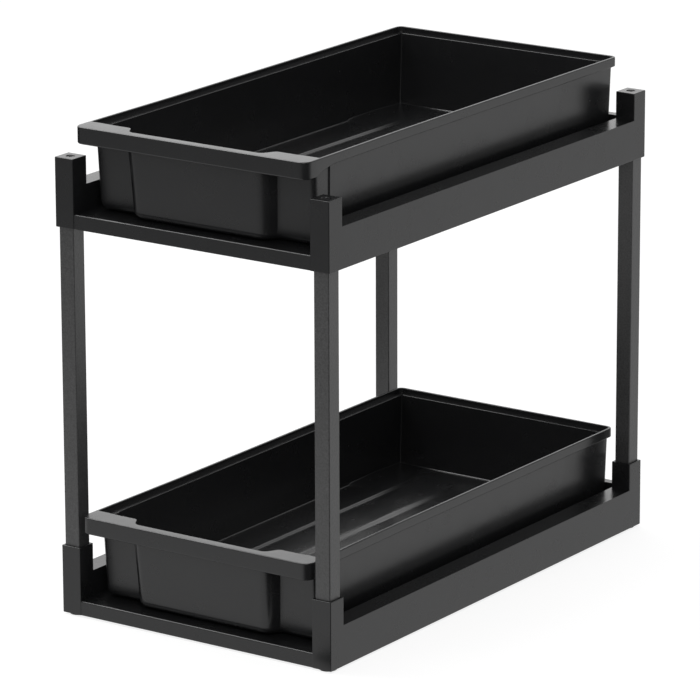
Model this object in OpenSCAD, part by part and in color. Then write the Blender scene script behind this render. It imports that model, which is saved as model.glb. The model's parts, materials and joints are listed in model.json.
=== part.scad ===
// Two-tier organizer: two moulded frames on four square tubes, each carrying a bin that slides out

/* [Rack] */
// Width of the rack across its corner posts
rack_w = 206; // [196:1:240]
// Depth of the rack from front to back
rack_d = 360; // [330:1:420]
// Step from the underside of the lower frame to the underside of the upper one
tier_pitch = 251; // [150:1:320]

/* [Frames] */
// Side of each square corner post
post_side = 14; // [13.5:0.5:16]
// Height of a corner post
post_h = 44.5; // [36:0.5:52]
// Height of the side rails and of the back wall
rail_h = 26.5; // [20:0.5:34]
// Height of the deck that a bin slides on
deck_top = 9.5; // [8:0.5:12]
// Thickness of the deck and of the walls of the hollow rails
frame_wall = 2.5; // [2:0.1:3]
// Thickness of the back wall
back_t = 6; // [4:0.5:7]
// Set-back of the front apron behind the faces of the posts
apron_setback = 0.4; // [0.2:0.1:1]
// Radius of the upright edges of the posts
post_edge_r = 0.5; // [0.4:0.1:1.2]
// Radius of the deck's front edge
deck_edge_r = 1; // [0.5:0.1:1.5]
// Number of stiffening ribs across the underside of the deck
deck_ribs = 5; // [3:1:8]
// Thickness of a stiffening rib
rib_t = 2; // [1.5:0.1:3]
// Height of the ribs' lower edges above the frame's underside
rib_lift = 1.5; // [0:0.1:3]

/* [Legs] */
// Outer side of the square tube
tube_side = 11; // [10:0.5:12]
// Wall of the tube
tube_wall = 0.8; // [0.6:0.1:1.2]
// Radius of the tube's outer edges
tube_edge_r = 0.7; // [0.5:0.1:1.5]
// Clearance on each side of a tube in its socket
socket_gap = 0.2; // [0.1:0.05:0.3]
// Height of the seat that a tube stands on, above the frame's underside
seat_h = 10; // [8:0.5:14]
// Thickness of the cap that closes the top of an upper post
cap_t = 4; // [3:0.5:5]
// Length of the threaded plug in the top of a tube
plug_len = 14; // [10:1:20]
// Clearance on each side of a plug in its tube
plug_gap = 0.1; // [0.05:0.05:0.2]

/* [Screws and feet] */
// Diameter of a screw's head
screw_head_d = 5.5; // [5:0.1:6]
// Diameter of a screw's shank
screw_d = 3; // [2.5:0.1:3.5]
// Length of a screw
screw_len = 12; // [9:1:15]
// Depth of the head's face below the top of the post
screw_sink = 0.5; // [0.3:0.1:0.8]
// Clearance round a screw
screw_gap = 0.05; // [0.05:0.05:0.15]
// Width of the cross recess in a screw's head
recess_w = 0.7; // [0.5:0.1:0.9]
// Length of the cross recess
recess_len = 2.6; // [2:0.1:3]
// Depth of the cross recess
recess_depth = 0.8; // [0.5:0.1:1]
// Diameter of a foot
foot_d = 11; // [9:0.5:13]
// Height of a foot below the frame
foot_h = 1.2; // [1:0.1:3]
// Diameter of the stem that holds a foot
stem_d = 5; // [4:0.5:6]
// Length of the stem
stem_len = 6; // [4:0.5:7]
// Clearance round the stem and past its end
stem_gap = 0.1; // [0.05:0.05:0.2]

/* [Bins] */
// Height of a bin from its skids to the top of its rim
bin_h = 56.2; // [45:0.2:75]
// Clearance between a bin's skids and the deck
bin_lift = 0.3; // [0.3:0.1:0.6]
// Clearance between the rim and the inner face of a post
bin_side_gap = 3.25; // [2:0.25:8]
// Clearance between the rim and the back wall
bin_back_gap = 0.5; // [0.5:0.5:6]
// Distance that the pull stands in front of the posts
pull_proud = 0.8; // [0:0.1:2]
// Distance that the pull's ends stand out from the rim
pull_end_proud = 1.5; // [0.2:0.1:2]
// Distance from the pull's face over which the side rims spread out towards the pull
spread_len = 100; // [60:5:140]
// Radius of the pull's corners
pull_corner_r = 6; // [5:0.5:8]
// Radius of the rim's back corners
rim_corner_r = 5; // [4:0.5:8]
// Radius of the tub's front corners
tub_corner_r = 5.5; // [4:0.5:8]
// Depth of the rim's skirt on the sides and the back
skirt_h = 6.2; // [5:0.1:8]
// Depth of the skirt under the pull
pull_h = 11; // [9.5:0.5:13]
// Length of the pull's skirt along each side
pull_side_len = 10.5; // [8:0.5:13]
// Length of the curve from the pull's skirt to the side skirt
gusset_len = 24; // [16:1:30]
// Thickness of the pull's flat top
pull_top_t = 2; // [1.5:0.1:2.5]
// Thickness of the upright lip round the rim
lip_t = 1.8; // [1.4:0.1:2.2]
// Depth of the ledge below the lip's top
ledge_drop = 3.6; // [2.5:0.1:4]
// Thickness of the rim outside the side walls
rim_out = 2.4; // [2:0.1:3]
// Thickness of the side and back walls
side_wall = 3.1; // [2:0.1:3.5]
// Thickness of the front wall
front_wall = 2.2; // [1.8:0.1:2.6]
// Thickness of the floor
floor_t = 2.4; // [2:0.1:3]
// Height of the skids under the floor
skid_h = 2.5; // [1.5:0.1:3]
// Inward slope of a side wall from top to bottom
side_draft = 0.5; // [0.3:0.1:2]
// Inward slope of the back wall from top to bottom
back_draft = 3; // [1:0.5:5]
// Radius of the outer bottom edges
bottom_r = 5.5; // [3:0.5:6]
// Radius where the walls meet the floor inside
floor_r = 2.5; // [1.5:0.5:4]

/* [Front wall] */
// Distance from the pull's face to the front of the bulge
bulge_setback = 5.1; // [4:0.1:7]
// Distance from the pull's face to the recessed parts of the front wall
recess_setback = 14.2; // [12:0.1:17]
// Width across the front of the bulge
bulge_w = 102; // [80:1:115]
// Spread of the bulge on each side, from its front to the recess
bulge_spread = 5.2; // [4:0.1:9]
// Radius of the bulge's front edges
bulge_r = 5; // [3:0.5:7]
// Backward slope of the bulge's front from top to bottom
bulge_draft = 4.5; // [1:0.5:5]
// Inward slope of the bulge's sides from top to bottom
bulge_side_draft = 2; // [0.5:0.5:3]
// Backward slope of the recessed parts from top to bottom
recess_draft = 3.5; // [1:0.5:5]
// Inset of the side wall next to the front corner
corner_inset = 1.2; // [0.8:0.1:3]
// Length of the inset part, from the pull's face
corner_len = 28.6; // [24:0.1:36]
// Length of the slope from the inset part to the side wall
corner_ramp = 1.2; // [1:0.1:3]

/* [Floor relief] */
// Depth of the channel and the grooves in the floor
channel_depth = 1.3; // [0.8:0.1:1.8]
// Width of the channel along the middle
channel_w = 44; // [30:1:56]
// Width of the slopes at the channel's edges
channel_slope = 5; // [2:0.5:7]
// Width between the outer edges of the two grooves
groove_span = 106; // [90:1:112]
// Width of a groove
groove_w = 7; // [6:0.5:10]
// Width of the slopes at a groove's edges
groove_slope = 2.2; // [1.5:0.1:2.8]
// Distance from the rim's back to the end of the channel and the grooves
channel_end = 19.5; // [16:0.5:36]
// Length of the slopes at their ends
end_slope = 6; // [3:0.5:10]
// Length of the low step beside the back of each side wall, from the rim's back
back_step_len = 70.5; // [50:0.5:90]
// Height of that step at the wall
back_step_h = 1.1; // [0.5:0.1:2]
// Width of that step
back_step_w = 9; // [6:0.5:12]
// Length of the slope at its front
back_step_ramp = 3; // [2:0.5:6]
// Length of the slope at its back
back_step_fall = 26; // [15:1:36]
// Width of the bin's outer skid all round
skid_w = 14; // [12:1:15]
// Width of the skids that stand out past the channel and the grooves above them
skid_margin = 2; // [1:0.5:3]

/* [Hidden] */

// Overrun of the cuts past the faces that they open
over = 1;
// Flats of a round shape
$fn = 48;
// Steps of an outline's rounded corner
arc_steps = 6;
// Steps of the gusset's curve
gusset_steps = 10;

// Front face of the frames, so that the whole object is centred front to back
front_y = -(rack_d - pull_proud) / 2;
// Centres of the posts from the middle of the rack, and from its front face
post_x = rack_w / 2 - post_side / 2;
post_ys = [post_side / 2, rack_d - post_side / 2];
post_cols = [-1, 1];
// Inner width between the side rails
bay_w = rack_w - 2 * post_side;
// Side of a socket, and the height of the tube's top end in the upper frame
socket_side = tube_side + 2 * socket_gap;
tube_top = tier_pitch + post_h - cap_t;
bore_side = tube_side - 2 * tube_wall;
bore_edge_r = max(tube_edge_r - tube_wall, tube_edge_r / 4);

// Levels of a bin above its frame's underside
bin_foot = deck_top + bin_lift;
rim_top = bin_foot + bin_h;
floor_top = bin_foot + skid_h + floor_t;
ledge_z = rim_top - ledge_drop;
skirt_z = rim_top - skirt_h;
pull_z = rim_top - pull_h;
// Half widths and ends of a bin, from the middle and from the frame's front face
rim_half = bay_w / 2 - bin_side_gap;
pull_half = rim_half + pull_end_proud;
body_half = rim_half - rim_out;
pull_y = -pull_proud;
bulge_y = pull_y + bulge_setback;
recess_y = pull_y + recess_setback;
corner_y = pull_y + corner_len;
rim_back = rack_d - back_t - bin_back_gap;
body_back = rim_back - rim_out;
tub_back_r = rim_corner_r - rim_out;
// Slant of the bulge's sides in plan, and how far a wall of unit thickness draws them in sideways
bulge_angle = atan(bulge_spread / (recess_y - bulge_y));
bulge_side_share = 1 / cos(bulge_angle) - tan(bulge_angle);

// Unit vector along v
function unit(v) = v / norm(v);

// Arc that rounds the corner b between the points a and c with radius r
function corner_arc(a, b, c, r) =
    let (u = unit(a - b), v = unit(c - b), half = acos(u * v) / 2)
    let (m = b + unit(u + v) * r / sin(half))
    let (p = b + u * r / tan(half) - m, q = b + v * r / tan(half) - m)
    let (start = atan2(p[1], p[0]), turn = (atan2(q[1], q[0]) - start + 540) % 360 - 180)
    [for (i = [0:arc_steps]) let (a = start + turn * i / arc_steps) m + r * [cos(a), sin(a)]];

// Outline through corners given as [x, y, radius]
function rounded(corners) =
    let (n = len(corners), pts = [for (k = corners) [k[0], k[1]]])
    [for (i = [0:n - 1]) each corners[i][2] == 0
        ? [pts[i]]
        : corner_arc(pts[(i + n - 1) % n], pts[i], pts[(i + 1) % n], corners[i][2])];

// Outline from the corners of its right half, front to back, and their mirror images
function both_halves(half) =
    rounded(concat(half, [for (i = [len(half) - 1:-1:0]) [-half[i][0], half[i][1], half[i][2]]]));

// Square outline with rounded corners, about the origin
function round_square(side, r) =
    rounded([for (k = [[-1, -1], [1, -1], [1, 1], [-1, 1]]) [k[0] * side / 2, k[1] * side / 2, r]]);

// Plan of the rim and the pull, drawn in by inset
function rim_plan(inset) = both_halves([
    [pull_half - inset, pull_y + inset, pull_corner_r - inset],
    [pull_half - inset, pull_y + pull_side_len, 0],
    [rim_half - inset, pull_y + spread_len, 0],
    [rim_half - inset, rim_back - inset, rim_corner_r - inset]
]);

// Radius inside a corner of radius r, behind a wall of thickness t
function inner_radius(r, t) = max(r - t / 2, r / 4);

// Plan of the walls without the bulge: their outer faces, or the faces of the hollow inside
function wall_plan(side_t, front_t) = both_halves([
    [body_half - corner_inset - side_t, recess_y + front_t, inner_radius(tub_corner_r, side_t)],
    [body_half - corner_inset - side_t, corner_y, 0],
    [body_half - side_t, corner_y + corner_ramp, 0],
    [body_half - side_t, body_back - side_t, inner_radius(tub_back_r, side_t)]
]);

// Section across a bin between its side walls, from the level z up past the rim
function side_section(side_t, z, r) = rounded([
    [-body_half + side_t + side_draft, z, r],
    [body_half - side_t - side_draft, z, r],
    [body_half - side_t, rim_top + over, 0],
    [-body_half + side_t, rim_top + over, 0]
]);

// Section along a bin between the recessed front wall and the back wall
function long_section(front_t, side_t, z, r) = rounded([
    [recess_y + front_t + recess_draft, z, r],
    [body_back - side_t - back_draft, z, r],
    [body_back - side_t, rim_top + over, 0],
    [recess_y + front_t, rim_top + over, 0]
]);

// Plan of the bulge at the level z, its faces drawn in by inset, run back to the depth back_y
function bulge_ring(z, inset, r, back_y) =
    let (share = (rim_top - z) / bin_h)
    let (y = bulge_y + bulge_draft * share + inset)
    let (half = bulge_w / 2 - bulge_side_draft * share - inset * bulge_side_share)
    let (back_half = half + (back_y - y) * tan(bulge_angle))
    [for (p = rounded([[-half, y, r], [half, y, r], [back_half, back_y, 0], [-back_half, back_y, 0]]))
        [p[0], p[1], z]];

// Rings of the bulge from the round edge at its bottom, at the level z, up to the level top
function bulge_rings(t, z, r, top, back_y) = concat(
    [for (i = [0:arc_steps])
        let (a = 90 * i / arc_steps)
        bulge_ring(z + r * (1 - cos(a)), t + r * (1 - sin(a)), bulge_r - t, back_y)],
    [bulge_ring(top, t, bulge_r - t, back_y)]
);

// Lower edge of the skirt: deep under the pull, then a curve up to the side skirt
function skirt_drop(share) = skirt_h + (pull_h - skirt_h) * pow(1 - share, 2);
function skirt_edge() = [for (i = [0:gusset_steps])
    let (share = i / gusset_steps)
    [pull_y + pull_side_len + gusset_len * share, rim_top - skirt_drop(share)]];

// Extrudes an outline of [x, z] points from the depth y over the length len
module along_y(points, y, len) {
    translate([0, y + len, 0])
        rotate([90, 0, 0])
            linear_extrude(len)
                polygon(points);
}

// Extrudes an outline of [y, z] points from the place x over the width len
module along_x(points, x, len) {
    translate([x, 0, 0])
        rotate([90, 0, 90])
            linear_extrude(len)
                polygon(points);
}

// Solid through a stack of rings that have the same number of points, lowest first
module loft(rings) {
    n = len(rings[0]);
    last = len(rings) - 1;
    sides = [for (k = [0:last - 1], i = [0:n - 1])
        let (j = (i + 1) % n)
        each [
            [k * n + i, (k + 1) * n + j, k * n + j],
            [k * n + i, (k + 1) * n + i, (k + 1) * n + j]
        ]];
    floor_face = [for (i = [0:n - 1]) i];
    top_face = [for (i = [n - 1:-1:0]) last * n + i];
    polyhedron([for (ring = rings) each ring], concat(sides, [floor_face, top_face]));
}

// Moves a frame, a bin or a leg from its own tier to its place in the rack
module on_tier(tier) {
    translate([0, front_y, foot_h + tier * tier_pitch])
        children();
}

// Repeats what stands on a corner post at all four posts
module at_posts() {
    for (col = post_cols, y = post_ys)
        translate([col * post_x, y, 0])
            children();
}

// Deck with its front apron, in one bent section
module deck() {
    inner_y = apron_setback + frame_wall;
    along_x(
        rounded([
            [apron_setback, 0, 0],
            [inner_y, 0, 0],
            [inner_y, deck_top - frame_wall, 0],
            [rack_d - back_t, deck_top - frame_wall, 0],
            [rack_d - back_t, deck_top, 0],
            [apron_setback, deck_top, deck_edge_r]
        ]),
        -bay_w / 2 - frame_wall,
        bay_w + 2 * frame_wall
    );
}

// Hollow side rail on one side of the deck
module side_rail(col) {
    rail_in = bay_w / 2;
    hollow_len = rack_d - 2 * (post_side + frame_wall);
    translate([col > 0 ? rail_in : -rail_in - post_side, post_side / 2, 0])
        difference() {
            cube([post_side, rack_d - post_side, rail_h]);
            translate([frame_wall, post_side / 2 + frame_wall, -over])
                cube([post_side - 2 * frame_wall, hollow_len, rail_h - frame_wall + over]);
        }
}

// Ribs under the deck, across it and along it
module underside_ribs() {
    rib_h = deck_top - frame_wall / 2 - rib_lift;
    first_y = apron_setback + frame_wall / 2;
    last_y = rack_d - back_t / 2;
    rib_xs = [-bay_w / 4, 0, bay_w / 4];
    for (i = [1:deck_ribs])
        translate([-bay_w / 2 - frame_wall / 2, i * rack_d / (deck_ribs + 1) - rib_t / 2, rib_lift])
            cube([bay_w + frame_wall, rib_t, rib_h]);
    for (x = rib_xs)
        translate([x - rib_t / 2, first_y, rib_lift])
            cube([rib_t, last_y - first_y, rib_h]);
}

// Frame without its posts' holes
module frame_blank() {
    deck();
    underside_ribs();
    for (col = post_cols)
        side_rail(col);
    translate([-rack_w / 2 + post_side / 2, rack_d - back_t, 0])
        cube([rack_w - post_side, back_t, rail_h]);
    at_posts()
        linear_extrude(post_h)
            polygon(round_square(post_side, post_edge_r));
}

// Square socket for a tube, from the level z over the height h
module socket(z, h) {
    translate([0, 0, z])
        linear_extrude(h)
            polygon(round_square(socket_side, tube_edge_r));
}

module lower_frame() {
    color("#2b2c2e")
        on_tier(0)
            difference() {
                frame_blank();
                at_posts() {
                    socket(seat_h, post_h);
                    translate([0, 0, -over])
                        cylinder(h = stem_len + stem_gap + over, d = stem_d + 2 * stem_gap);
                }
            }
}

module upper_frame() {
    color("#2b2c2e")
        on_tier(1)
            difference() {
                frame_blank();
                at_posts() {
                    socket(-over, post_h - cap_t + over);
                    screw_shape(screw_gap, post_h - screw_sink);
                    translate([0, 0, post_h - screw_sink])
                        cylinder(h = screw_sink + over, d = screw_head_d + 2 * screw_gap);
                }
            }
}

// Countersunk screw grown by gap, with the face of its head at the level z
module screw_shape(gap, z) {
    head_h = (screw_head_d - screw_d) / 2;
    translate([0, 0, z - head_h])
        cylinder(h = head_h, d1 = screw_d + 2 * gap, d2 = screw_head_d + 2 * gap);
    translate([0, 0, z - screw_len - gap])
        cylinder(h = screw_len - head_h + 2 * gap, d = screw_d + 2 * gap);
}

module post_screws() {
    head_z = post_h - screw_sink;
    color("#4a4b4d")
        on_tier(1)
            at_posts()
                difference() {
                    screw_shape(0, head_z);
                    for (a = [0, 90])
                        rotate([0, 0, a])
                            translate([-recess_len / 2, -recess_w / 2, head_z - recess_depth])
                                cube([recess_len, recess_w, recess_depth + over]);
                }
}

// Square tube from its seat in the lower frame to the cap of the upper one
module leg(col, row) {
    color("#6d6e70")
        on_tier(0)
            translate([col * post_x, post_ys[row], seat_h])
                linear_extrude(tube_top - seat_h)
                    difference() {
                        polygon(round_square(tube_side, tube_edge_r));
                        polygon(round_square(bore_side, bore_edge_r));
                    }
}

// Threaded plug in the top end of a tube
module plug(col, row) {
    color("#1d1d1e")
        on_tier(0)
            translate([col * post_x, post_ys[row], tube_top - plug_len])
                difference() {
                    linear_extrude(plug_len)
                        polygon(round_square(bore_side - 2 * plug_gap, bore_edge_r));
                    translate([0, 0, -over])
                        cylinder(h = plug_len + 2 * over, d = screw_d + 2 * screw_gap);
                }
}

// Soft foot with a stem that plugs into the underside of a post
module foot(col, row) {
    color("#151515")
        on_tier(0)
            translate([col * post_x, post_ys[row], 0]) {
                translate([0, 0, -foot_h])
                    cylinder(h = foot_h, d = foot_d);
                cylinder(h = stem_len, d = stem_d);
            }
}

// Tub of a bin as a solid: its plan cut to the slopes and round edges of its sections
module tub_blank() {
    top = rim_top - pull_top_t / 2;
    intersection() {
        translate([0, 0, bin_foot])
            linear_extrude(top - bin_foot)
                polygon(wall_plan(0, 0));
        along_y(side_section(0, bin_foot, bottom_r), 0, rack_d);
        along_x(long_section(0, 0, bin_foot, bottom_r), -rack_w / 2, rack_w);
    }
    loft(bulge_rings(0, bin_foot, bottom_r, top, recess_y + recess_draft + bottom_r));
}

// Space inside a bin, open at the top
module tub_hollow() {
    top = rim_top + over;
    intersection() {
        translate([0, 0, floor_top])
            linear_extrude(top - floor_top)
                polygon(wall_plan(side_wall, front_wall));
        along_y(side_section(side_wall, floor_top, floor_r), 0, rack_d);
        along_x(long_section(front_wall, side_wall, floor_top, floor_r), -rack_w / 2, rack_w);
    }
    loft(bulge_rings(front_wall, floor_top, floor_r, top, recess_y + recess_draft + 2 * bottom_r));
}

// Skirt all round the rim, with the pull at the front and a gusset on each side
module skirt() {
    side_view = concat(
        [
            [rim_back + over, skirt_z],
            [rim_back + over, rim_top],
            [pull_y - over, rim_top],
            [pull_y - over, pull_z]
        ],
        skirt_edge()
    );
    intersection() {
        translate([0, 0, pull_z])
            linear_extrude(pull_h)
                difference() {
                    polygon(rim_plan(0));
                    polygon(rim_plan(rim_out));
                }
        along_x(side_view, -rack_w / 2, rack_w);
    }
}

// Part of the rim's plan between two depths, as a plate
module rim_plate(y0, y1, z, h) {
    intersection() {
        translate([0, 0, z])
            linear_extrude(h)
                polygon(rim_plan(0));
        translate([-rack_w / 2, y0, z])
            cube([rack_w, y1 - y0, h]);
    }
}

// Pocket above the ledge, inside the lip of the side and back rims
module ledge_pocket() {
    pocket_y = recess_y + front_wall;
    intersection() {
        translate([0, 0, ledge_z])
            linear_extrude(ledge_drop + over)
                polygon(rim_plan(lip_t));
        translate([-rack_w / 2, pocket_y, ledge_z])
            cube([rack_w, rack_d, ledge_drop + over]);
    }
}

// Hollow under the floor between the places x0 and x1
module skid_pocket(x0, x1) {
    y0 = recess_y + recess_draft + skid_w;
    y1 = body_back - back_draft - skid_w;
    translate([x0, y0, bin_foot - over])
        cube([x1 - x0, y1 - y0, skid_h + over]);
}

// Hollows that leave the outer skid, and skids below the channel and the grooves
module skid_pockets() {
    middle = channel_w / 2 + skid_margin;
    groove_in = groove_span / 2 - groove_w - skid_margin;
    groove_out = groove_span / 2 + skid_margin;
    outer = body_half - skid_w;
    skid_pocket(middle, groove_in);
    skid_pocket(-groove_in, -middle);
    skid_pocket(groove_out, outer);
    skid_pocket(-outer, -groove_out);
}

// Channel sunk in the floor between the places x0 and x1, with sloping edges and ends
module channel(x0, x1, slope) {
    y0 = recess_y + recess_draft + front_wall + floor_r + end_slope;
    y1 = rim_back - channel_end;
    low = floor_top - channel_depth;
    high = floor_top + over;
    intersection() {
        along_y(
            [
                [x0, high], [x0, floor_top], [x0 + slope, low],
                [x1 - slope, low], [x1, floor_top], [x1, high]
            ],
            y0,
            y1 - y0
        );
        along_x(
            [
                [y0, high], [y0, floor_top], [y0 + end_slope, low],
                [y1 - end_slope, low], [y1, floor_top], [y1, high]
            ],
            x0,
            x1 - x0
        );
    }
}

// Channel along the middle of the floor and the two grooves beside it
module floor_channels() {
    outer = groove_span / 2;
    inner = outer - groove_w;
    channel(-channel_w / 2, channel_w / 2, channel_slope);
    channel(inner, outer, groove_slope);
    channel(-outer, -inner, groove_slope);
}

// Low step on the floor beside the back of each side wall, sloping away from the wall
module back_steps() {
    reach = body_half - side_wall - side_draft;
    buried = reach + side_wall / 2;
    y0 = rim_back - back_step_len;
    y1 = body_back - side_wall - back_draft;
    low = floor_top - floor_t / 4;
    high = floor_top + back_step_h;
    for (col = post_cols)
        intersection() {
            along_y(
                [for (p = [
                    [reach - back_step_w, low], [reach - back_step_w, floor_top],
                    [reach, high], [buried, high], [buried, low]
                ]) [col * p[0], p[1]]],
                y0,
                y1 - y0
            );
            along_x(
                [
                    [y0, low], [y0, floor_top], [y0 + back_step_ramp, high],
                    [y1 - back_step_fall, high], [y1, floor_top], [y1, low]
                ],
                -buried,
                2 * buried
            );
        }
}

// One bin at rest on its deck
module bin() {
    difference() {
        union() {
            tub_blank();
            skirt();
            rim_plate(pull_y, recess_y + front_wall, rim_top - pull_top_t, pull_top_t);
            rim_plate(recess_y, rim_back, skirt_z, ledge_z - skirt_z);
        }
        tub_hollow();
        ledge_pocket();
        skid_pockets();
        floor_channels();
    }
    back_steps();
}

module lower_bin() {
    color("#232426")
        on_tier(0)
            bin();
}

module upper_bin() {
    color("#232426")
        on_tier(1)
            bin();
}

lower_frame();
upper_frame();
lower_bin();
upper_bin();
leg(-1, 0);  // front_left_leg
leg(1, 0);  // front_right_leg
leg(-1, 1);  // back_left_leg
leg(1, 1);  // back_right_leg
plug(-1, 0);  // front_left_plug
plug(1, 0);  // front_right_plug
plug(-1, 1);  // back_left_plug
plug(1, 1);  // back_right_plug
foot(-1, 0);  // front_left_foot
foot(1, 0);  // front_right_foot
foot(-1, 1);  // back_left_foot
foot(1, 1);  // back_right_foot
post_screws();
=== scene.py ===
"""Looks of the two-tier organizer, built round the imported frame.

Sizes are millimetres and angles are degrees, unless a comment says otherwise.
"""

import json
import math

import bmesh
import bpy
from mathutils import Matrix, Vector


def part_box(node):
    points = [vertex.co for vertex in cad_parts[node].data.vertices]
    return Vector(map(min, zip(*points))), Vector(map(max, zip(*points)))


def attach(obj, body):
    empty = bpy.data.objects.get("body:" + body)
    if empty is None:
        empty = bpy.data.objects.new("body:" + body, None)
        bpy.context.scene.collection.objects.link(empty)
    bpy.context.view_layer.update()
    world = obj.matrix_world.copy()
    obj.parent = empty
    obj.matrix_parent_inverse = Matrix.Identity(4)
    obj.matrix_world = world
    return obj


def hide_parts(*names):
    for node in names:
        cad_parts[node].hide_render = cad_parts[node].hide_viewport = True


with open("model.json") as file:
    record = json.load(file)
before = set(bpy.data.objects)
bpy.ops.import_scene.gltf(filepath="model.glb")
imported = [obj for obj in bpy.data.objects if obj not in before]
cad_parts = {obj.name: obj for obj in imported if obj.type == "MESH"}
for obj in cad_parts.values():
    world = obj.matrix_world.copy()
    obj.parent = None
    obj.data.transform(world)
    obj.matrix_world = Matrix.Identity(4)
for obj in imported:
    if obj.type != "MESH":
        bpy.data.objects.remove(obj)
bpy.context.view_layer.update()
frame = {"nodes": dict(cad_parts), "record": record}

MM = 0.001


def node_box(name):
    """Lowest and highest corner of a CAD node at rest, in millimetres."""
    lo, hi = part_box(name)
    return lo / MM, hi / MM


TIERS = ("lower", "upper")
CORNERS = ("front_left", "front_right", "back_left", "back_right")

# Places of the tiers: the frames' front face, and the underside of each frame
frame_lo = node_box("lower_frame")[0]
FRONT_Y = frame_lo.y
TIER_Z = {tier: node_box(tier + "_frame")[0].z for tier in TIERS}

# Bin, with x from the middle, y from the frame's front face and z from the frame's underside
bin_lo, bin_hi = node_box("lower_bin")
PULL_HALF = bin_hi.x
PULL_Y = bin_lo.y - FRONT_Y
RIM_BACK = bin_hi.y - FRONT_Y
BIN_FOOT = bin_lo.z - frame_lo.z
RIM_TOP = bin_hi.z - frame_lo.z
RIM_HALF = PULL_HALF - 1.5
PULL_CORNER_R = 6.0
RIM_CORNER_R = 5.0
RIM_OUT = 2.4
LIP_T = 1.8
LEDGE_Z = RIM_TOP - 3.6
SKIRT_H = 6.2
PULL_H = 11.0
PULL_TOP_T = 2.0
PULL_SIDE_Y = PULL_Y + 10.5
SPREAD_Y = PULL_Y + 100.0
GUSSET_LEN = 24.0
BODY_HALF = RIM_HALF - RIM_OUT
BODY_BACK = RIM_BACK - RIM_OUT
TUB_CORNER_R = 3.6
TUB_BACK_R = RIM_CORNER_R - RIM_OUT
SIDE_WALL = 3.1
FRONT_WALL = 2.2
FLOOR_TOP = BIN_FOOT + 4.9
SIDE_DRAFT = 0.5
BACK_DRAFT = 3.0
BOTTOM_R = 5.5
FLOOR_R = 0.8
# Share of a corner's radius that is left inside a thick wall at least, and the radius gained per inset
LEAST_R_SHARE = 0.25
INSET_R_SHARE = 0.25
# The walls' two faces: how far in each lies at the sides and at the front, and the level of its foot
OUTSIDE = (0, 0, BIN_FOOT)
INSIDE = (SIDE_WALL, FRONT_WALL, FLOOR_TOP)

# Front wall
BULGE_Y = PULL_Y + 5.1
RECESS_Y = PULL_Y + 14.2
BULGE_HALF = 51.0
BULGE_SPREAD = 5.2
BULGE_R = 8.0
BULGE_FOOT_R = 1.0
BULGE_DRAFT = 4.5
BULGE_SIDE_DRAFT = 2.0
RECESS_DRAFT = 3.5
CORNER_INSET = 0.9
CORNER_Y = PULL_Y + 29.4
CORNER_RAMP = 1.2
BULGE_TAN = BULGE_SPREAD / (RECESS_Y - BULGE_Y)
BULGE_SIDE_SHARE = math.hypot(1, BULGE_TAN) - BULGE_TAN

# Where the pull's plate ends beside the lip: how fast the corner's stations run out to the lip,
# from which share of them on they turn back, how far each share takes them, and the depth they reach
PLATE_END_RATE = 1.5
PLATE_END_TURN = 0.67
PLATE_END_SLOPE = 6
PLATE_END_DEPTH = 2

# Edge rounding
PULL_EDGE_R = 0.7
SKIRT_EDGE_R = 0.6
PULL_FOOT_R = 1.1
PLATE_INNER_R = 1.2
LIP_EDGE_R = 0.45
LEDGE_EDGE_R = 0.3

# Channel and grooves in the floor, low steps at its back corners, and skids under it
CHANNEL_DEPTH = 1.3
CHANNEL_HALF = 22.0
CHANNEL_SLOPE = 5.0
GROOVE_IN = 46.0
GROOVE_OUT = 53.0
GROOVE_SLOPE = 2.2
CHANNEL_FRONT = RECESS_Y + RECESS_DRAFT + FRONT_WALL + FLOOR_R + 6.0
CHANNEL_BACK = RIM_BACK - 19.5
END_SLOPE = 18.0
STEP_Y = RIM_BACK - 70.5
STEP_RAMP = 3.0
STEP_FALL = 26.0
STEP_H = 1.1
STEP_W = 9.0
SKID_H = 2.5
SKID_W = 14.0
SKID_MARGIN = 2.0
POCKET_SLOPE = 2.0

# Steps of a rounded corner and of a rounded edge, and a quarter turn in radians
ARC = 6
EDGE_ARC = 3
QUARTER = math.pi / 2
# Steps of the channel's sides and ends, of the short ramps and of the gusset's curve
SLOPE_STEPS = 5
END_STEPS = 4
RAMP_STEPS = 3
GUSSET_STEPS = 12

# Distances under which the bin's points are merged and its slivers dissolved
MERGE = 0.001
SLIVER = 0.0005


def smooth(share):
    """Smooth step from 0 to 1."""
    s = min(max(share, 0.0), 1.0)
    return s * s * (3 - 2 * s)


def spaced(a, b, steps):
    """Values from a to b in equal steps."""
    return [a + (b - a) * i / steps for i in range(steps + 1)]


def corner_arc(a, b, c, r):
    """Arc of radius r that rounds the corner b between the points a and c."""
    a, b, c = Vector(a), Vector(b), Vector(c)
    u, v = (a - b).normalized(), (c - b).normalized()
    half = math.acos(max(-1.0, min(1.0, u.dot(v)))) / 2
    centre = b + (u + v).normalized() * r / math.sin(half)
    p = b + u * r / math.tan(half) - centre
    q = b + v * r / math.tan(half) - centre
    start = math.atan2(p.y, p.x)
    turn = (math.atan2(q.y, q.x) - start + 3 * math.pi) % (2 * math.pi) - math.pi
    angles = [start + turn * i / ARC for i in range(ARC + 1)]
    return [(centre.x + r * math.cos(t), centre.y + r * math.sin(t)) for t in angles]


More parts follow.
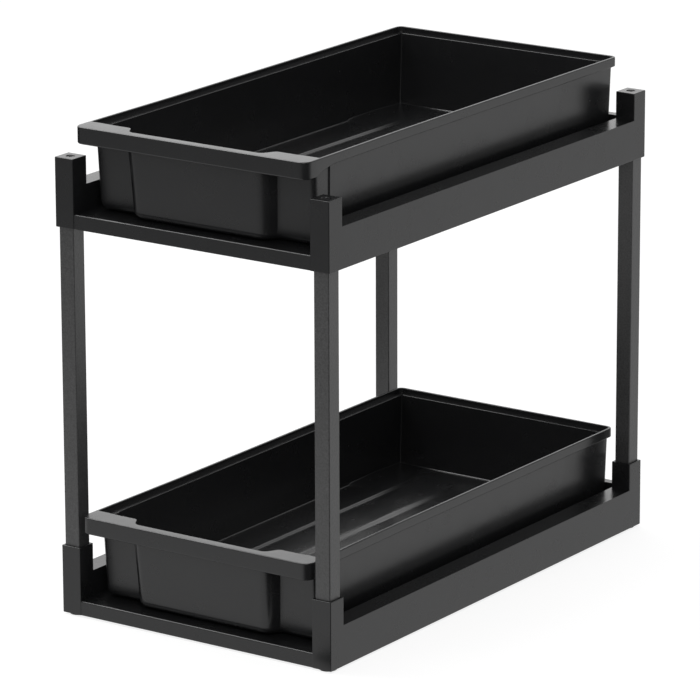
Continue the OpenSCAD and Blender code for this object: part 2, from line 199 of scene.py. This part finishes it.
# Stations of the half outline that all rings share
FRONT_XS = (
    [0.0, 8.0]
    + spaced(CHANNEL_HALF - CHANNEL_SLOPE, CHANNEL_HALF, SLOPE_STEPS)
    + [CHANNEL_HALF + SKID_MARGIN, 30.0, 36.0, 42.0]
)
SKID_X = BODY_HALF - SKID_W
RECESS_XS = [58.5, SKID_X - POCKET_SLOPE, SKID_X]
GUSSET_YS = spaced(PULL_SIDE_Y, PULL_SIDE_Y + GUSSET_LEN, GUSSET_STEPS)
RAMP_YS = spaced(CORNER_Y, CORNER_Y + CORNER_RAMP, RAMP_STEPS)
LONG_YS = (
    [45.0, 70.0, SPREAD_Y, 135.0, 180.0, 225.0, 260.0]
    + spaced(STEP_Y, STEP_Y + STEP_RAMP, RAMP_STEPS)
    + [300.0]
    + spaced(CHANNEL_BACK - END_SLOPE, CHANNEL_BACK, END_STEPS)
    + [338.0]
)
SIDE_YS = sorted(GUSSET_YS + RAMP_YS) + LONG_YS
SLANT_SHARES = [0.33, 0.67]


def front_stations(y_bulge, half, y_recess, x_corner, bulge_r, foot_r):
    """The front wall's plan from the middle to the front corner's arc."""
    foot = (half + (y_recess - y_bulge) * BULGE_TAN, y_recess)
    edge = corner_arc((0, y_bulge), (half, y_bulge), foot, bulge_r)
    root = corner_arc((half, y_bulge), foot, (x_corner, y_recess), foot_r)
    a, b = Vector(edge[-1]), Vector(root[0])
    slant = [tuple(a.lerp(b, share)) for share in SLANT_SHARES]
    flat = [(x, y_bulge) for x in FRONT_XS]
    recess = [(x, y_recess) for x in RECESS_XS]
    return flat + edge + slant + root + recess


def inner_radius(r, t):
    """Radius inside a corner of radius r, behind a wall of thickness t."""
    return max(r - t / 2, r * LEAST_R_SHARE)


def rim_half_at(y):
    """Half width of the rim at the depth y. It spreads towards the pull."""
    share = min(max((y - PULL_SIDE_Y) / (SPREAD_Y - PULL_SIDE_Y), 0.0), 1.0)
    return PULL_HALF + (RIM_HALF - PULL_HALF) * share


def wall_half(z, face, inset=0.0):
    """Right half of a face's plan at the level z, from the front middle to the back middle."""
    t_side, t_front, foot_z = face
    low = (RIM_TOP - z) / (RIM_TOP - foot_z)
    bulge_low = (RIM_TOP - z) / (RIM_TOP - BIN_FOOT)
    front_in = t_front + inset
    y_bulge = BULGE_Y + BULGE_DRAFT * bulge_low + front_in
    half = BULGE_HALF - BULGE_SIDE_DRAFT * bulge_low - front_in * BULGE_SIDE_SHARE
    y_recess = RECESS_Y + RECESS_DRAFT * low + front_in
    x_side = BODY_HALF - SIDE_DRAFT * low - t_side - inset
    x_corner = x_side - CORNER_INSET
    y_back = BODY_BACK - BACK_DRAFT * low - t_side - inset
    front_r = inner_radius(TUB_CORNER_R, t_side) + inset * INSET_R_SHARE
    back_r = inner_radius(TUB_BACK_R, t_side) + inset * INSET_R_SHARE
    front = front_stations(y_bulge, half, y_recess, x_corner, BULGE_R - t_front, BULGE_FOOT_R + front_in)
    corner = corner_arc((half, y_recess), (x_corner, y_recess), (x_corner, y_back), front_r)
    back_corner = corner_arc((x_side, y_recess), (x_side, y_back), (0, y_back), back_r)
    side = []
    for y in SIDE_YS:
        x = x_corner + (x_side - x_corner) * smooth((y - CORNER_Y) / CORNER_RAMP)
        side.append((x, min(max(y, corner[-1][1]), back_corner[0][1])))
    back = [(x, y_back) for x in reversed(BACK_XS)]
    return front + corner + side + back_corner + back


def floor_front_xs():
    """The x of the front wall's stations at the floor."""
    low = (RIM_TOP - FLOOR_TOP) / (RIM_TOP - BIN_FOOT)
    front_in = FRONT_WALL + FLOOR_R
    stations = front_stations(
        BULGE_Y + BULGE_DRAFT * low + front_in,
        BULGE_HALF - BULGE_SIDE_DRAFT * low - front_in * BULGE_SIDE_SHARE,
        RECESS_Y + RECESS_DRAFT + front_in,
        BODY_HALF - SIDE_DRAFT - SIDE_WALL - FLOOR_R - CORNER_INSET,
        BULGE_R - FRONT_WALL,
        BULGE_FOOT_R + front_in,
    )
    return [x for x, y in stations]


# The back wall's stations have the same x, so that the floor is a straight grid
BACK_XS = floor_front_xs()
N_FRONT = len(BACK_XS)
N_SIDE = len(SIDE_YS)
K_SIDE = N_FRONT + ARC + 1
K_BACK = K_SIDE + N_SIDE
N_HALF = K_BACK + ARC + 1 + N_FRONT


def rim_half_plan(inset):
    """Right half of the rim's and the pull's plan, with the stations of wall_half."""
    top = wall_half(RIM_TOP - PULL_TOP_T, OUTSIDE)
    x_pull, x_rim = PULL_HALF - inset, RIM_HALF - inset
    y_front, y_back = PULL_Y + inset, RIM_BACK - inset
    front = [(top[k][0], y_front) for k in range(N_FRONT)]
    corner = corner_arc((0, y_front), (x_pull, y_front), (x_pull, y_back), PULL_CORNER_R - inset)
    back_corner = corner_arc((x_rim, y_front), (x_rim, y_back), (0, y_back), RIM_CORNER_R - inset)
    side = [(rim_half_at(y) - inset, y) for y in SIDE_YS]
    back = [(x, y_back) for x in reversed(BACK_XS)]
    return front + corner + side + back_corner + back


def skirt_edge(k):
    """Level of the skirt's lower edge at the station k."""
    if k < K_SIDE:
        return RIM_TOP - PULL_H
    share = 1.0 if k >= K_BACK else (SIDE_YS[k - K_SIDE] - PULL_SIDE_Y) / GUSSET_LEN
    return RIM_TOP - SKIRT_H - (PULL_H - SKIRT_H) * max(0.0, 1 - share) ** 2


def plate_underside(k):
    """Level at the station k of the underside that joins the walls to the skirt."""
    y = SIDE_YS[k - K_SIDE] if K_SIDE <= k < K_BACK else None
    if k < K_SIDE or (y is not None and y < RECESS_Y):
        return RIM_TOP - PULL_TOP_T
    if y is not None and y > CORNER_Y + CORNER_RAMP / 2:
        return skirt_edge(k)
    return RIM_TOP - SKIRT_H


def everywhere(value):
    """The same value at every station."""
    return lambda k: value


def sunken(x, lo, hi, slope):
    """Share of a channel's depth between its edges lo and hi."""
    return smooth((x - lo) / slope) * smooth((hi - x) / slope)


def relief(x, y):
    """Height above the floor: below zero in the channel and the grooves, above it on the back steps."""
    x = abs(x)
    channel = sunken(x, -CHANNEL_HALF, CHANNEL_HALF, CHANNEL_SLOPE)
    groove = sunken(x, GROOVE_IN, GROOVE_OUT, GROOVE_SLOPE)
    along = sunken(y, CHANNEL_FRONT, CHANNEL_BACK, END_SLOPE)
    wall_x = BODY_HALF - SIDE_DRAFT - SIDE_WALL
    wall_y = BODY_BACK - BACK_DRAFT - SIDE_WALL
    step = smooth((x - wall_x + STEP_W) / STEP_W)
    step *= smooth((y - STEP_Y) / STEP_RAMP)
    step *= smooth((wall_y - y) / STEP_FALL)
    return STEP_H * step - CHANNEL_DEPTH * (channel + groove) * along


def skid_pocket(x, y):
    """Depth of the hollows in the underside that leave the skids standing."""
    x = abs(x)
    inner = sunken(x, CHANNEL_HALF, GROOVE_IN - SKID_MARGIN + POCKET_SLOPE, POCKET_SLOPE)
    outer = sunken(x, GROOVE_OUT + SKID_MARGIN, SKID_X, POCKET_SLOPE)
    y0 = RECESS_Y + RECESS_DRAFT + SKID_W
    y1 = BODY_BACK - BACK_DRAFT - SKID_W
    return SKID_H * (inner + outer) * sunken(y, y0 - POCKET_SLOPE, y1 + POCKET_SLOPE, POCKET_SLOPE)


def wall_row(level, face, inset=0.0):
    """Row of points on a face of the walls, where level(k) gives the station k's level."""
    plans = {}
    row = []
    for k in range(N_HALF):
        z = level(k)
        if z not in plans:
            plans[z] = wall_half(z, face, inset)
        row.append((*plans[z][k], z))
    return row


def rim_row(inset, level):
    """Row of points on the rim's plan drawn in by inset."""
    return [(x, y, level(k)) for k, (x, y) in enumerate(rim_half_plan(inset))]


def lip_row(out, z):
    """Row along the inner edge of the pull's plate and of the lip, moved outwards by out(k)."""
    wall = wall_half(z, INSIDE)
    y_plate = RECESS_Y + FRONT_WALL
    x_end, y_end = wall[N_FRONT]
    row = []
    for k in range(N_HALF):
        d = out(k)
        x_lip = rim_half_at(y_plate) - LIP_T + d
        if k < N_FRONT:
            row.append((wall[k][0], wall[k][1] - d, z))
        elif k < K_SIDE:
            turn = (k - N_FRONT) / ARC
            x = x_end + (x_lip - x_end) * min(1.0, turn * PLATE_END_RATE)
            row.append((x, y_end - d + max(0.0, turn - PLATE_END_TURN) * PLATE_END_SLOPE, z))
        else:
            x, y = rim_half_plan(LIP_T - d)[k]
            if k < K_BACK:
                y = max(y, y_plate + PLATE_END_DEPTH)
                x = rim_half_at(y) - LIP_T + d
            row.append((x, y, z))
    return row


SKIRT_INSETS = {r: rim_half_plan(r) for r in (PULL_FOOT_R, SKIRT_EDGE_R)}


def skirt_edge_row(turn):
    """Row along the skirt's rounded lower edge. The edge is rounder on the pull."""
    share = 1 - math.sin(turn)
    row = []
    for k, (x, y, z) in enumerate(rim_row(0.0, skirt_edge)):
        r = PULL_FOOT_R if k < K_SIDE else SKIRT_EDGE_R
        inner = SKIRT_INSETS[r][k]
        row.append((x + (inner[0] - x) * share, y + (inner[1] - y) * share, z + r * (1 - math.cos(turn))))
    return row


def outer_rows():
    """Rows from the bottom's edge up the walls, under the plate and round the skirt to the top."""
    rows = []
    for t in spaced(0, QUARTER, ARC):
        z = BIN_FOOT + BOTTOM_R * (1 - math.cos(t))
        rows.append(wall_row(everywhere(z), OUTSIDE, BOTTOM_R * (1 - math.sin(t))))
    rows.append(wall_row(plate_underside, OUTSIDE))
    rows.append(rim_row(RIM_OUT, plate_underside))
    rows.append(rim_row(RIM_OUT, skirt_edge))
    for t in spaced(0, QUARTER, EDGE_ARC):
        rows.append(skirt_edge_row(t))
    for t in spaced(0, QUARTER, EDGE_ARC):
        z = RIM_TOP - PULL_EDGE_R * (1 - math.sin(t))
        rows.append(rim_row(PULL_EDGE_R * (1 - math.cos(t)), everywhere(z)))
    return rows


def inner_rows():
    """Rows from the top's inner edge over the ledge and down the walls to the floor."""
    rows = []
    edge_r = [PLATE_INNER_R if k < N_FRONT else LIP_EDGE_R for k in range(N_HALF)]
    for t in spaced(0, QUARTER, EDGE_ARC):
        row = lip_row(lambda k: edge_r[k] * (1 - math.sin(t)), RIM_TOP)
        rows.append([(x, y, z - edge_r[k] * (1 - math.cos(t))) for k, (x, y, z) in enumerate(row)])
    rows.append(lip_row(everywhere(0.0), LEDGE_Z))
    for t in spaced(0, QUARTER, EDGE_ARC):
        z = LEDGE_Z - LEDGE_EDGE_R * (1 - math.cos(t))
        wall = wall_row(everywhere(z), INSIDE)
        out = LEDGE_EDGE_R * (1 - math.sin(t))
        rows.append([
            (x + (out if K_SIDE <= k < K_BACK else 0), y + (out if k >= K_BACK + ARC else 0), z)
            for k, (x, y, z) in enumerate(wall)
        ])
    flat = wall_half(FLOOR_TOP, INSIDE, FLOOR_R)
    lift = [relief(x, y) for x, y in flat]
    for t in spaced(QUARTER, 0, ARC):
        rise = FLOOR_R * (1 - math.cos(t))
        inset = FLOOR_R * (1 - math.sin(t))
        rows.append(wall_row(lambda k: FLOOR_TOP + lift[k] + rise, INSIDE, inset))
    return rows


def add_strip(bm, rows):
    """Faces between neighbouring rows, whose points the mesh gets too. Returns the rows of vertices."""
    grid = [[bm.verts.new(p) for p in row] for row in rows]
    for a, b in zip(grid, grid[1:]):
        for k in range(len(a) - 1):
            bm.faces.new((a[k], a[k + 1], b[k + 1], b[k]))
    return grid


def add_level(bm, ring, height):
    """Fills a ring of half stations with a straight grid, at height(x, y)."""
    def vert(x, y):
        return bm.verts.new((x, y, height(x, y)))
    columns = []
    for i in range(N_FRONT):
        x = ring[i].co.x
        inside = [vert(x, ring[K_SIDE + j].co.y) for j in range(N_SIDE)]
        columns.append([ring[i]] + inside + [ring[N_HALF - 1 - i]])
    for a, b in zip(columns, columns[1:]):
        for j in range(len(a) - 1):
            bm.faces.new((a[j], b[j], b[j + 1], a[j + 1]))
    last = columns[-1]
    side = [ring[K_SIDE + j] for j in range(N_SIDE)]
    for j in range(N_SIDE - 1):
        bm.faces.new((last[j + 1], side[j], side[j + 1], last[j + 2]))
    bm.faces.new([last[0]] + ring[N_FRONT:K_SIDE] + [side[0], last[1]])
    bm.faces.new([last[N_SIDE], side[-1]] + ring[K_BACK:K_BACK + ARC + 1] + [last[-1]])


def bin_mesh(name, tier):
    """The bin as one closed mesh, in metres, at its place in the rack."""
    bm = bmesh.new()
    grid = add_strip(bm, outer_rows() + inner_rows())
    add_level(bm, grid[0], lambda x, y: BIN_FOOT + skid_pocket(x, y))
    add_level(bm, grid[-1], lambda x, y: FLOOR_TOP + relief(x, y))
    half = bm.verts[:] + bm.edges[:] + bm.faces[:]
    copy = bmesh.ops.duplicate(bm, geom=half)["geom"]
    twins = [v for v in copy if isinstance(v, bmesh.types.BMVert)]
    bmesh.ops.scale(bm, vec=(-1, 1, 1), verts=twins)
    bmesh.ops.remove_doubles(bm, verts=bm.verts, dist=MERGE)
    bmesh.ops.dissolve_degenerate(bm, edges=bm.edges, dist=SLIVER)
    bmesh.ops.recalc_face_normals(bm, faces=bm.faces)
    move = Matrix.Translation((0, FRONT_Y, TIER_Z[tier]))
    bm.transform(Matrix.Scale(MM, 4) @ move)
    return new_mesh(name, bm)


def new_mesh(name, bm):
    """Turns what was built into a mesh of that name."""
    mesh = bpy.data.meshes.new(name)
    bm.to_mesh(mesh)
    bm.free()
    return mesh


# Angle over which an edge shades sharp, and how much the large faces rule the shading normals
SHADE_ANGLE = 34.0
NORMAL_WEIGHT = 80


def finish_surface(obj):
    """Smooth shading with sharp edges kept, and flat faces that stay flat."""
    mesh = obj.data
    mesh.shade_smooth()
    mesh.set_sharp_from_angle(angle=math.radians(SHADE_ANGLE))
    weighted = obj.modifiers.new("weighted_normals", "WEIGHTED_NORMAL")
    weighted.keep_sharp = True
    weighted.weight = NORMAL_WEIGHT


def new_object(name, mesh, material, body, replaced):
    """Links a finished piece, gives it its material and body, and hides the node that it stands for."""
    obj = bpy.data.objects.new(name, mesh)
    bpy.context.scene.collection.objects.link(obj)
    mesh.materials.clear()
    mesh.materials.append(material)
    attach(obj, body)
    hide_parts(replaced)
    finish_surface(obj)


# Span that the values of a noise mostly lie in
NOISE_SPAN = (0.3, 0.7)
WHITE = (1, 1, 1, 1)


class Nodes:
    """A node tree, emptied, and short calls that make and link its nodes."""

    def __init__(self, tree):
        self.tree = tree
        tree.nodes.clear()

    def feed(self, socket, value):
        """Sets a socket to a value, or links it where the value is another node's output."""
        if isinstance(value, bpy.types.NodeSocket):
            self.tree.links.new(value, socket)
        else:
            socket.default_value = value

    def wire(self, node, *values, **named):
        """Feeds a node's inputs, in their order or by name, with _ for each space in a name."""
        for socket, value in zip(node.inputs, values):
            self.feed(socket, value)
        for name, value in named.items():
            self.feed(node.inputs[name.replace("_", " ")], value)
        return node

    def node(self, kind, *values, **named):
        """A new node, with its inputs fed as in wire."""
        return self.wire(self.tree.nodes.new("ShaderNode" + kind), *values, **named)

    def number(self, operation, a, b):
        """The number that an operation makes of two others."""
        node = self.node("Math", a, b)
        node.operation = operation
        return node.outputs[0]

    def vector(self, operation, *vectors):
        """A node that works on vectors."""
        node = self.node("VectorMath", *vectors)
        node.operation = operation
        return node

    def dot(self, a, b):
        """Dot product of two vectors."""
        return self.vector("DOT_PRODUCT", a, b).outputs["Value"]

    def fade(self, value, start, end, low, high):
        """Smooth change from low at start to high at end."""
        node = self.node("MapRange", value, start, end, low, high)
        node.interpolation_type = "SMOOTHSTEP"
        return node.outputs[0]

    def pick(self, factor, a, b):
        """The shader a where the factor is 0, and b where it is 1."""
        return self.node("MixShader", factor, a, b).outputs[0]


class Shader(Nodes):
    """A material's nodes, with a principled shader on its output."""

    def __init__(self, name):
        self.material = bpy.data.materials.new(name)
        self.material.use_nodes = True
        super().__init__(self.material.node_tree)
        self.bsdf = self.node("BsdfPrincipled")
        self.out = self.node("OutputMaterial", self.bsdf.outputs[0])
        self.coords = self.node("TexCoord").outputs["Object"]

    def noise(self, scale, detail):
        """Noise with so many features per metre."""
        return self.node("TexNoise", Vector=self.coords, Scale=scale, Detail=detail).outputs["Fac"]

    def set(self, **inputs):
        """Feeds the principled shader's own inputs."""
        self.wire(self.bsdf, **inputs)

    def colour(self, factor, low, high):
        """Base colour between low and high."""
        mix = self.node("Mix")
        mix.data_type = "RGBA"
        self.wire(mix, Factor=factor, A=(*low, 1), B=(*high, 1))
        self.set(Base_Color=mix.outputs["Result"])

    def roughness(self, factor, low, high):
        """Roughness between low and high, over the usual span of a noise."""
        self.set(Roughness=self.node("MapRange", factor, *NOISE_SPAN, low, high).outputs[0])

    def grain(self, height, distance, strength):
        """Fine relief of the surface. The distance is in metres."""
        bump = self.node("Bump", Strength=strength, Distance=distance, Height=height)
        self.set(Normal=bump.outputs[0])


def new_material(name, dark, light, rough, colour_noise, rough_noise, grain=None, **inputs):
    """A material whose colour and gloss vary a little from place to place.

    A noise is given as (features per metre, detail), and the grain as (noise, metres high, strength).
    """
    s = Shader(name)
    s.colour(s.noise(*colour_noise), dark, light)
    s.roughness(s.noise(*rough_noise), *rough)
    if grain:
        noise, distance, strength = grain
        s.grain(s.noise(*noise), distance, strength)
    s.set(**inputs)
    return s.material


# What the black moulded plastics share: slow changes of colour and gloss, and a very fine grain
MOULDED = {
    "colour_noise": (38.0, 4.0),
    "rough_noise": (60.0, 3.0),
    "grain": ((3600.0, 2.0), 0.00002, 0.1),
    "IOR": 1.5,
}
bin_plastic = new_material(
    "bin_plastic", dark=(0.01, 0.0102, 0.0108), light=(0.0125, 0.0127, 0.0134), rough=(0.23, 0.28),
    **MOULDED,
)
frame_plastic = new_material(
    "frame_plastic", dark=(0.0085, 0.0087, 0.0092), light=(0.0115, 0.0117, 0.0124), rough=(0.23, 0.29),
    **MOULDED,
)
# Dark powder coat on the tubes, with its speckle
leg_paint = new_material(
    "leg_paint", dark=(0.0, 0.0, 0.0), light=(0.065, 0.065, 0.0658), rough=(0.32, 0.44),
    colour_noise=(900.0, 1.0), rough_noise=(900.0, 3.0), grain=((1100.0, 1.0), 0.0002, 0.8), IOR=1.68,
)
plug_plastic = new_material(
    "plug_plastic", dark=(0.008, 0.008, 0.008), light=(0.012, 0.012, 0.012), rough=(0.4, 0.5),
    **MOULDED,
)
foot_rubber = new_material(
    "foot_rubber", dark=(0.008, 0.008, 0.008), light=(0.016, 0.016, 0.016), rough=(0.65, 0.85),
    colour_noise=(300.0, 4.0), rough_noise=(700.0, 3.0), grain=((1800.0, 2.0), 0.0001, 0.4), IOR=1.45,
)
# Blackened steel
screw_steel = new_material(
    "screw_steel", dark=(0.03, 0.03, 0.032), light=(0.06, 0.06, 0.062), rough=(0.25, 0.45),
    colour_noise=(500.0, 4.0), rough_noise=(900.0, 3.0), Metallic=0.8,
)

for tier in TIERS:
    node = tier + "_bin"
    name = node + "_moulding"
    new_object(name, bin_mesh(name, tier), bin_plastic, node, node)

# Rounding of the CAD's own solids: the distances in metres under which points are merged and slivers
# dissolved, the angle under which faces count as flat, the one above which an edge is rounded, and the
# steps and widths of the rounding, the widths in metres
NODE_MERGE = 2e-6
NODE_SLIVER = 1e-6
FLAT_ANGLE = 1
SHARP_ANGLE = 40
ROUND_STEPS = 2
FRAME_ROUND = 0.0004
LEG_ROUND = 0.0001
PLUG_ROUND = 0.0002
FOOT_ROUND = 0.0003
SCREW_ROUND = 0.00008


def body_of_node(node):
    """The body that a node moves with."""
    return next(b for b, nodes in frame["record"]["behaviour"]["bodies"].items() if node in nodes)


def softened(node, width, material, tail):
    """A CAD node's own shape with its outer sharp edges rounded by width metres, to replace it."""
    bm = bmesh.new()
    bm.from_mesh(frame["nodes"][node].data)
    bmesh.ops.remove_doubles(bm, verts=bm.verts, dist=NODE_MERGE)
    bmesh.ops.dissolve_limit(bm, angle_limit=math.radians(FLAT_ANGLE), verts=bm.verts, edges=bm.edges)
    sharp = [
        e for e in bm.edges
        if len(e.link_faces) == 2 and e.calc_face_angle() > math.radians(SHARP_ANGLE) and e.is_convex
    ]
    bmesh.ops.bevel(
        bm, geom=sharp, offset=width, segments=ROUND_STEPS, profile=0.5, affect="EDGES", clamp_overlap=False
    )
    bmesh.ops.dissolve_degenerate(bm, edges=bm.edges, dist=NODE_SLIVER)
    new_object(node + tail, new_mesh(node + tail, bm), material, body_of_node(node), node)


for tier in TIERS:
    softened(tier + "_frame", FRAME_ROUND, frame_plastic, "_moulding")
for corner in CORNERS:
    softened(corner + "_leg", LEG_ROUND, leg_paint, "_tube")
    softened(corner + "_plug", PLUG_ROUND, plug_plastic, "_insert")
    softened(corner + "_foot", FOOT_ROUND, foot_rubber, "_pad")
softened("post_screws", SCREW_ROUND, screw_steel, "_heads")


def aim(obj, place, target, roll=0.0):
    """Puts a camera or lamp at place, turned to target."""
    turn = (Vector(target) - Vector(place)).to_track_quat("-Z", "Y").to_matrix().to_4x4()
    obj.matrix_world = Matrix.Translation(place) @ turn @ Matrix.Rotation(roll, 4, "Z")


# Camera at the photograph's angle. Its distance, target and clipping are in metres
AZIMUTH, ELEVATION, ROLL = 34.68, 15.739, -0.188
DISTANCE = 3.2727
TARGET = Vector((0.0, -0.00918, 0.14929))
LENS = 263.37
SENSOR = 36
CLIP = (0.1, 200)
camera = bpy.data.objects.new("camera", bpy.data.cameras.new("camera"))
bpy.context.scene.collection.objects.link(camera)
az, el = math.radians(AZIMUTH), math.radians(ELEVATION)
back = Vector((math.sin(az) * math.cos(el), -math.cos(az) * math.cos(el), math.sin(el)))
aim(camera, TARGET + back * DISTANCE, TARGET, math.radians(ROLL))
camera.data.lens = LENS
camera.data.sensor_width = SENSOR
camera.data.clip_start, camera.data.clip_end = CLIP
bpy.context.scene.camera = camera

# Direction of the bright side of the surroundings, the cosines of the angles from it between which
# they fade, and their levels
BRIGHT_SIDE = (-0.75, 0.62, 0.22)
BRIGHT_FADE = (-0.1, 0.95)
DIM_LEVEL = 0.3
BRIGHT_LEVEL = 1.4
# A soft light that only reflections show, for the lines of light on rounded edges: direction, width, level
GLINT_SIDE = (-0.55, -0.08, 0.83)
GLINT_WIDTH = 38
GLINT_LEVEL = 4.0
# The floor: its side in metres, its colour and its roughness
FLOOR_SIDE = 80
FLOOR_COLOUR = (0.8, 0.8, 0.8, 1)
FLOOR_ROUGHNESS = 0.9
# The floor as the camera sees it: its own glow and its share of the light, in which the shadow shows
FLOOR_GLOW = 0.82
FLOOR_SHADE = 0.32
# The floor as reflections see it: its share of the light, and its glow at two distances in front of the
# object, in metres
GLOSSY_SHADE = 0.03
FLOOR_FAR_Y, FLOOR_NEAR_Y = -1.0, -0.3
FLOOR_FAR, FLOOR_NEAR = 0.32, 0.84
# Its dark sides in reflections, off the front corners: the corner in metres, the heading from the front
# towards the right, and the angles from it at which the fade starts and ends. Last comes the glow's share
# that is left there
DARK_SIDES = (((0.075, -0.2, 0.0), 62, 72, 12), ((-0.2, -0.1, 0.0), -105, 60, 42))
DARK_SHARE = 0.0
# Soft lamps: name, place and sides in metres, power in watts, and the point that all of them face
SOFT_BOXES = (
    ("front_box", (0.8, -1.3, 1.15), (1.0, 1.0), 9),
    ("edge_box", (-0.9, -0.35, 1.5), (0.7, 0.9), 5),
)
LAMP_TARGET = (0, 0, 0.16)


def studio_floor():
    """Wide pale floor with the object's shadow. In reflections it is dimmer in front of the object."""
    bpy.ops.mesh.primitive_plane_add(size=FLOOR_SIDE)
    obj = bpy.context.object
    obj.name = "studio_floor"
    s = Shader("studio_floor")
    s.set(Base_Color=FLOOR_COLOUR, Roughness=FLOOR_ROUGHNESS, Specular_IOR_Level=0.0)
    depth = s.node("SeparateXYZ", s.coords).outputs["Y"]
    glow = s.fade(depth, FLOOR_FAR_Y, FLOOR_NEAR_Y, FLOOR_FAR, FLOOR_NEAR)
    for corner, heading, start, end in DARK_SIDES:
        middle = (math.sin(math.radians(heading)), -math.cos(math.radians(heading)), 0)
        from_corner = s.vector("SUBTRACT", s.coords, corner).outputs["Vector"]
        outwards = s.vector("NORMALIZE", from_corner).outputs["Vector"]
        start, end = math.cos(math.radians(start)), math.cos(math.radians(end))
        glow = s.number("MULTIPLY", glow, s.fade(s.dot(outwards, middle), start, end, 1.0, DARK_SHARE))
    path = s.node("LightPath")
    surface = s.bsdf.outputs[0]
    rays = (("Is Glossy Ray", glow, GLOSSY_SHADE), ("Is Camera Ray", FLOOR_GLOW, FLOOR_SHADE))
    for ray, level, shade in rays:
        light = s.node("Emission", WHITE, level).outputs[0]
        lit = s.node("BsdfDiffuse", (shade, shade, shade, 1)).outputs[0]
        both = s.node("AddShader", light, lit).outputs[0]
        surface = s.pick(path.outputs[ray], surface, both)
    s.feed(s.out.inputs["Surface"], surface)
    obj.data.materials.append(s.material)


def studio_world():
    """Surroundings that are bright behind the object and dim in front of it. The camera sees them white."""
    world = bpy.data.worlds.new("studio_world")
    bpy.context.scene.world = world
    world.use_nodes = True
    n = Nodes(world.node_tree)
    heading = n.node("TexCoord").outputs["Generated"]
    path = n.node("LightPath")
    level = n.fade(n.dot(heading, BRIGHT_SIDE), *BRIGHT_FADE, DIM_LEVEL, BRIGHT_LEVEL)
    edge = math.cos(math.radians(GLINT_WIDTH))
    glint = n.fade(n.dot(heading, GLINT_SIDE), edge, 1.0, 0.0, GLINT_LEVEL)
    seen_glint = n.number("MULTIPLY", glint, path.outputs["Is Glossy Ray"])
    soft = n.node("Background", WHITE, n.number("ADD", level, seen_glint)).outputs[0]
    seen = n.node("Background", WHITE, 1.0).outputs[0]
    n.node("OutputWorld", n.pick(path.outputs["Is Camera Ray"], soft, seen))


def soft_box(name, place, size, power):
    """A rectangular lamp that faces the object."""
    data = bpy.data.lights.new(name, "AREA")
    data.shape = "RECTANGLE"
    data.size, data.size_y = size
    data.energy = power
    obj = bpy.data.objects.new(name, data)
    bpy.context.scene.collection.objects.link(obj)
    aim(obj, place, LAMP_TARGET)


studio_floor()
studio_world()
for lamp in SOFT_BOXES:
    soft_box(*lamp)
bpy.context.scene.view_settings.view_transform = "Standard"
